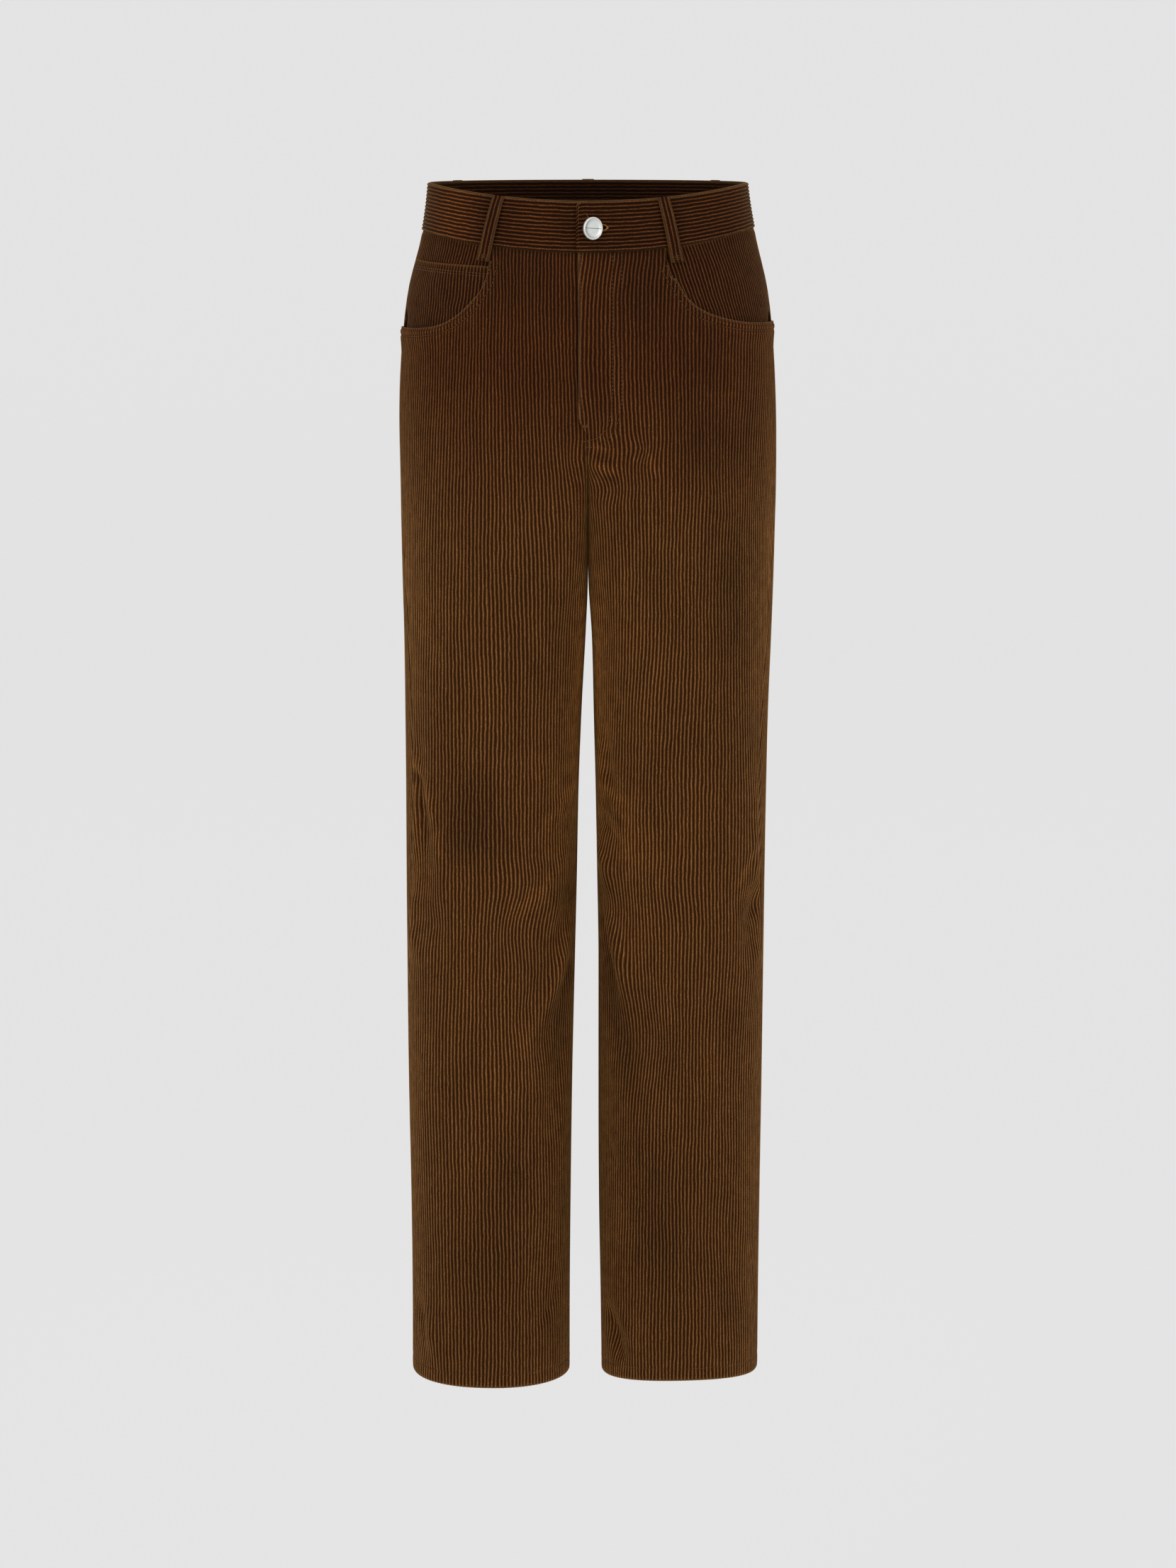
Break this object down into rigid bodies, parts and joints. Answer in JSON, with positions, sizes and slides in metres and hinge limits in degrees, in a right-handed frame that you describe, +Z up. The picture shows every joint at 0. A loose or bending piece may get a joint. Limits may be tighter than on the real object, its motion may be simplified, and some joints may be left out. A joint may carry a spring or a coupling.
{
  "type": "corduroy trousers",
  "caption": "Straight-leg corduroy trousers on no wearer, filled out and hanging from the waist, with a buttoned waistband, fly, scoop front pockets and belt loops.",
  "frame": {"origin": "middle of the waist opening, level with the waistband's top edge at the sides, where the wearer holds the trousers up", "axes": "+Z up along the legs, -Y towards the front, +X towards the wearer's left"},
  "size_m": [0.3377, 0.2504, 1.0859],
  "materials": {
    "corduroy": "brown cotton corduroy with raised cut-pile wales, soft and matt with a velvet rim",
    "button_metal": "flat satin silver metal with a thin bright rim"
  },
  "bodies": {
    "root": {"front_right": "corduroy", "front_left": "corduroy", "back_right": "corduroy", "back_left": "corduroy", "pocket_facing_right": "corduroy", "pocket_facing_left": "corduroy", "coin_pocket": "corduroy", "waistband": "corduroy", "belt_loop_front_right": "corduroy", "belt_loop_front_left": "corduroy", "belt_loop_back_right": "corduroy", "belt_loop_back_left": "corduroy", "belt_loop_centre_back": "corduroy", "button": "button_metal"}
  },
  "joints": []
}
